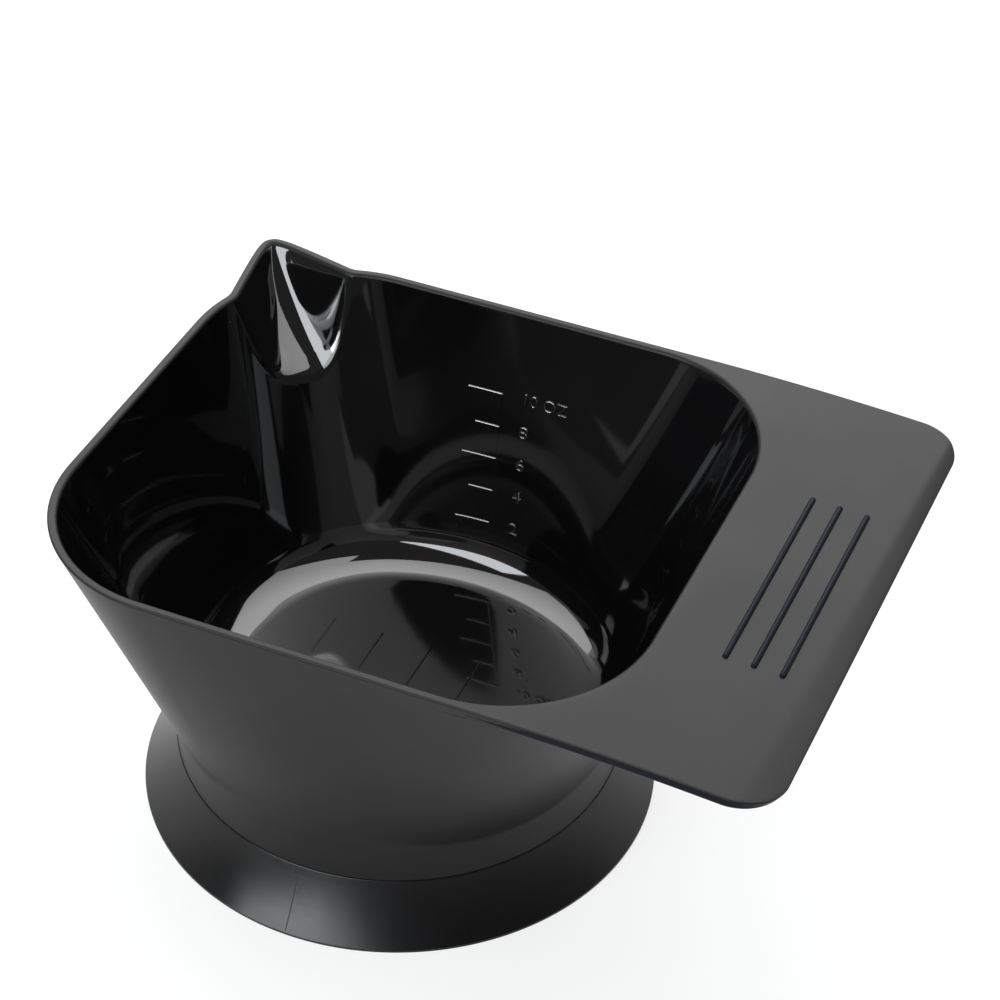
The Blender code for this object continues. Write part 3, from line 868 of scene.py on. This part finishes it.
def base_rings():
    """The rubber base's section, from its membrane round its skirt to the suction hollow.

    The heights of the membrane's top and of the hollow's roof at the axis come with it.
    """
    plug_outside = FOOT_INSIDE - BASE_FIT
    plug_inside = plug_outside - PLUG_WALL
    groove = FOOT_BOTTOM - BASE_FIT
    roof = groove - GROOVE_FLOOR
    foot_low = foot_radius(groove) + BASE_FIT
    foot_high = foot_radius(BASE_HEIGHT) + BASE_FIT
    lip = foot_radius(BASE_HEIGHT) + LIP_FIT
    lip_top = BASE_HEIGHT - LIP_DROP
    edge = FOOT_RADIUS + SKIRT_FLARE

    def dome(share):
        return roof + MEMBRANE_RISE * (1 - share**2)

    shares = np.linspace(0.0, 1.0, MEMBRANE_STEPS + 1)[1:]
    rings = [(plug_inside * share, dome(share) + MEMBRANE) for share in shares]
    plug_side = BASE_HEIGHT - PLUG_CHAMFER
    rings += rounded(
        (plug_inside, plug_side),
        (plug_inside, BASE_HEIGHT),
        (plug_inside + PLUG_CHAMFER, BASE_HEIGHT),
        PLUG_STEPS,
    )
    rings += rounded(
        (plug_outside - PLUG_CHAMFER, BASE_HEIGHT),
        (plug_outside, BASE_HEIGHT),
        (plug_outside, plug_side),
        PLUG_STEPS,
    )
    rings += [(plug_outside, groove), (foot_low, groove), (foot_high, lip_top - LIP_LENGTH)]
    lip_middle = (lip + LIP_WIDTH / 2, lip_top)
    rings += rounded((lip, lip_top - LIP_ROUND), (lip, lip_top), lip_middle, LIP_EDGE_STEPS)
    skirt = [skirt_place(share) for share in np.linspace(0.0, 1.0, SKIRT_STEPS + 1)]
    rings += rounded(lip_middle, skirt[0], skirt_place(SKIRT_TOP_ROUND), LIP_EDGE_STEPS)[1:]
    rings += skirt[1:-1]
    thin_edge = (edge, SKIRT_EDGE_ROUND)
    rings += rounded(skirt[-1], (edge, SKIRT_EDGE_HEIGHT / 2), thin_edge, SKIRT_EDGE_STEPS)
    rings += rounded(thin_edge, (edge, 0.0), (edge - SKIRT_EDGE_ROUND, 0.0), LIP_EDGE_STEPS)[1:]
    rings += [
        (edge - CONTACT_WIDTH, 0.0),
        (foot_high, roof * HOLLOW_SHOULDER),
        (plug_outside, roof),
    ]
    rings += [(plug_inside * share, dome(share)) for share in reversed(shares)]
    return rings, roof + MEMBRANE_RISE + MEMBRANE, roof + MEMBRANE_RISE


def make_base(rubber, seam):
    angle = np.linspace(0.0, 2 * math.pi, BASE_DIRECTIONS + 1)[:-1]
    rings, top, bottom = base_rings()
    base = skinned("base_body", rings, angle, top, bottom, [rubber], lambda ring: 0)
    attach(base, "base")
    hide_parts("suction_base")

    outward = Vector((math.cos(PARTING_LINE), math.sin(PARTING_LINE), 0.0))
    path = []
    normals = []
    for share in np.linspace(PARTING_END, 1.0 - PARTING_END, PARTING_STATIONS):
        radius, height = skirt_place(share)
        low_radius, low_height = skirt_place(share + PARTING_END)
        path.append(outward * radius + UP * height)
        normals.append(outward * (height - low_height) + UP * (low_radius - radius))
    line = ridge("base_parting_line", path, normals, PARTING_HALF_WIDTH, PARTING_HEIGHT, seam)
    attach(line, "base")


def make_floor():
    """A pale floor that shows as white with the object's shadow on it."""
    mesh = bpy.data.meshes.new("studio_floor")
    half = STUDIO_FLOOR_HALF
    corners = [(-half, -half, 0.0), (half, -half, 0.0), (half, half, 0.0), (-half, half, 0.0)]
    mesh.from_pydata(corners, [], [(0, 1, 2, 3)])
    floor = bpy.data.objects.new("studio_floor", mesh)
    bpy.context.scene.collection.objects.link(floor)
    look = bpy.data.materials.new("pale studio floor")
    nodes = Nodes(look)
    shadowed = nodes.add("ShaderNodeBsdfDiffuse")
    shadowed.inputs["Color"].default_value = STUDIO_FLOOR_COLOUR
    white = nodes.add("ShaderNodeEmission")
    share = nodes.add("ShaderNodeMath", operation="MULTIPLY")
    share.inputs[1].default_value = STUDIO_FLOOR_WHITE
    nodes.join(seen_directly(nodes), share.inputs[0])
    mixed = nodes.add("ShaderNodeMixShader")
    nodes.join(share.outputs["Value"], mixed.inputs["Fac"])
    nodes.join(shadowed.outputs["BSDF"], mixed.inputs[1])
    nodes.join(white.outputs["Emission"], mixed.inputs[2])
    output = nodes.add("ShaderNodeOutputMaterial")
    nodes.join(mixed.outputs["Shader"], output.inputs["Surface"])
    mesh.materials.append(look)


def seen_directly(nodes):
    """One for rays from the camera and for mirrored or refracted ones, and nothing for light."""
    rays = nodes.add("ShaderNodeLightPath")
    first = nodes.add("ShaderNodeMath", operation="MAXIMUM")
    nodes.join(rays.outputs["Is Camera Ray"], first.inputs[0])
    nodes.join(rays.outputs["Is Glossy Ray"], first.inputs[1])
    second = nodes.add("ShaderNodeMath", operation="MAXIMUM")
    nodes.join(first.outputs["Value"], second.inputs[0])
    nodes.join(rays.outputs["Is Transmission Ray"], second.inputs[1])
    return second.outputs["Value"]


def make_world():
    """A white backdrop, which mirrors show dimmer on the camera's side, and soft fill for light."""
    world = bpy.data.worlds.new("studio")
    bpy.context.scene.world = world
    nodes = Nodes(world)
    background = nodes.add("ShaderNodeBackground")
    background.inputs["Color"].default_value = (*WHITE, 1.0)
    _, ahead = studio_axes()
    towards = nodes.add("ShaderNodeVectorMath", operation="DOT_PRODUCT")
    towards.inputs[1].default_value = ahead
    nodes.join(nodes.add("ShaderNodeTexCoord").outputs["Generated"], towards.inputs[0])
    mirrored = nodes.between(towards.outputs["Value"], ROOM_LEVEL, 1.0, ROOM_START, ROOM_END)
    shown = nodes.add("ShaderNodeMath", operation="MAXIMUM")
    nodes.join(mirrored, shown.inputs[0])
    nodes.join(nodes.add("ShaderNodeLightPath").outputs["Is Camera Ray"], shown.inputs[1])
    strength = nodes.add("ShaderNodeMix", data_type="FLOAT")
    strength.inputs["A"].default_value = FILL_LEVEL
    nodes.join(seen_directly(nodes), strength.inputs["Factor"])
    nodes.join(shown.outputs["Value"], strength.inputs["B"])
    nodes.join(strength.outputs["Result"], background.inputs["Strength"])
    output = nodes.add("ShaderNodeOutputWorld")
    nodes.join(background.outputs["Background"], output.inputs["Surface"])


def studio_axes():
    """The camera's right and the level direction away from it, which the lamps line up with."""
    turn = math.radians(CAMERA_TURN)
    right = Vector((math.cos(turn), math.sin(turn), 0.0))
    return right, Vector((-math.sin(turn), math.cos(turn), 0.0))


def softbox(name, turn, rise, width, height, radiance, colour, tilt=0.0):
    """A rectangular lamp facing the bowl, by degrees right of the camera and above the floor.

    Its width and height are those it would have one metre away. A tilt turns it about the line to
    the bowl.
    """
    right, ahead = studio_axes()
    turn = math.radians(turn)
    rise = math.radians(rise)
    level = right * math.cos(turn) + ahead * math.sin(turn)
    facing = (right * math.sin(turn) - ahead * math.cos(turn)) * math.cos(rise)
    facing += UP * math.sin(rise)
    tilt = math.radians(tilt)
    level = level * math.cos(tilt) + facing.cross(level) * math.sin(tilt)
    place = LAMP_AIM + facing * LAMP_DISTANCE
    hang(name, level, facing, place, width, height, radiance, colour, FULL_SPREAD)


def top_softbox(name, near, far, left_end, right_end):
    """A level lamp overhead, by where its edges would be along and across the view one metre up."""
    right, ahead = studio_axes()
    middle = UP + ahead * (near + far) / 2 + right * (left_end + right_end) / 2
    place = LAMP_AIM + middle * LAMP_DISTANCE
    hang(name, right, UP, place, right_end - left_end, far - near, TOP_LEVEL, WHITE, TOP_SPREAD)


def hang(name, level, facing, place, width, height, radiance, colour, spread):
    """Puts up an area lamp; its energy follows from how bright its face is."""
    upright = facing.cross(level)
    lamp = bpy.data.lights.new(name, "AREA")
    lamp.shape = "RECTANGLE"
    lamp.size = width * LAMP_DISTANCE
    lamp.size_y = height * LAMP_DISTANCE
    lamp.color = colour
    lamp.spread = math.radians(spread)
    lamp.energy = radiance * math.pi * lamp.size * lamp.size_y
    made = bpy.data.objects.new(name, lamp)
    made.matrix_world = placed(level, upright, facing, place)
    bpy.context.scene.collection.objects.link(made)


def placed(x_axis, y_axis, z_axis, place):
    return Matrix((
        (x_axis.x, y_axis.x, z_axis.x, place.x),
        (x_axis.y, y_axis.y, z_axis.y, place.y),
        (x_axis.z, y_axis.z, z_axis.z, place.z),
        (0.0, 0.0, 0.0, 1.0),
    ))


def make_camera():
    rise = math.radians(CAMERA_RISE)
    roll = math.radians(CAMERA_ROLL)
    level, ahead = studio_axes()
    back = UP * math.sin(rise) - ahead * math.cos(rise)
    upright = back.cross(level)
    right = level * math.cos(roll) + upright * math.sin(roll)
    up = upright * math.cos(roll) - level * math.sin(roll)
    camera = bpy.data.cameras.new("camera")
    camera.sensor_width = CAMERA_SENSOR
    camera.lens = CAMERA_LENS
    camera.clip_start = 0.01
    made = bpy.data.objects.new("camera", camera)
    made.matrix_world = placed(right, up, back, CAMERA_AIM + back * CAMERA_DISTANCE)
    bpy.context.scene.collection.objects.link(made)
    bpy.context.scene.camera = made


def main():
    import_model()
    bpy.context.scene.view_settings.view_transform = "Standard"

    black = ((0.002, 0.002, 0.0022), (0.003, 0.003, 0.0033))
    polished = finish_of(
        "polished black plastic", *black,
        roughness=(0.035, 0.06), grain=0.01, wave=0.015, ior=1.85, specks=0.6,
    )
    wall_look = finish_of(
        "glossy black plastic", *black,
        roughness=(0.04, 0.07), grain=0.01, wave=0.015, ior=1.63, specks=0.6,
    )
    satin = finish_of(
        "satin black plastic", (0.004, 0.004, 0.0036), (0.006, 0.006, 0.0056),
        roughness=(0.36, 0.42), grain=0.10, wave=0.03, ior=1.27,
    )
    # The grip ribs are the handle's own black plastic: this darker, bluer copy is painted shade and
    # bluish reflection on their rounded sides.
    rib_shade_look = finish_of(
        "rib plastic painted darker for shade", (0.004, 0.0055, 0.009), (0.005, 0.007, 0.011),
        roughness=(0.16, 0.22), grain=0.05, wave=0.02, ior=1.12,
    )
    scale_look = finish_of(
        "raised scale plastic", (0.003, 0.003, 0.0035), (0.005, 0.005, 0.006),
        roughness=(0.07, 0.11), grain=0.02, wave=0.0, ior=2.5,
    )
    rubber = finish_of(
        "black base rubber", (0.003, 0.003, 0.0033), (0.005, 0.005, 0.0055),
        roughness=(0.24, 0.32), grain=0.10, wave=0.03, ior=1.35, streaks=0.25,
    )
    seam = finish_of(
        "parting line rubber", (0.010, 0.008, 0.006), (0.014, 0.011, 0.009),
        roughness=(0.40, 0.50), grain=0.10, wave=0.0, ior=1.35,
    )
    # The handle's side is the same satin plastic: this darker, bluer copy is painted shade, standing
    # in for the shaded floor mirrored under the handle.
    edge_shade_look = finish_of(
        "handle edge painted shade", (0.003, 0.004, 0.006), (0.004, 0.005, 0.008),
        roughness=(0.28, 0.34), grain=0.05, wave=0.02, ior=1.08,
    )

    make_bowl(polished, wall_look, satin, edge_shade_look)
    make_ribs(rib_shade_look, polished)
    make_scale(scale_look, wall_look)
    make_base(rubber, seam)

    make_floor()
    make_world()
    top_softbox("top_softbox", near=-0.21, far=0.88, left_end=-1.25, right_end=2.0)
    top_softbox("top_wing", near=-0.48, far=-0.21, left_end=0.25, right_end=2.0)
    softbox(
        "key_softbox", turn=-37.2, rise=30.9, width=0.86, height=0.48,
        radiance=6.0, colour=COOL, tilt=-21.0,
    )
    softbox(
        "low_card", turn=-45.0, rise=14.0, width=0.61, height=0.15, radiance=13.5, colour=COOL
    )
    softbox(
        "back_softbox", turn=180.0, rise=38.0, width=1.0, height=0.38, radiance=5.2, colour=WHITE
    )
    make_camera()

    bpy.context.view_layer.update()


main()
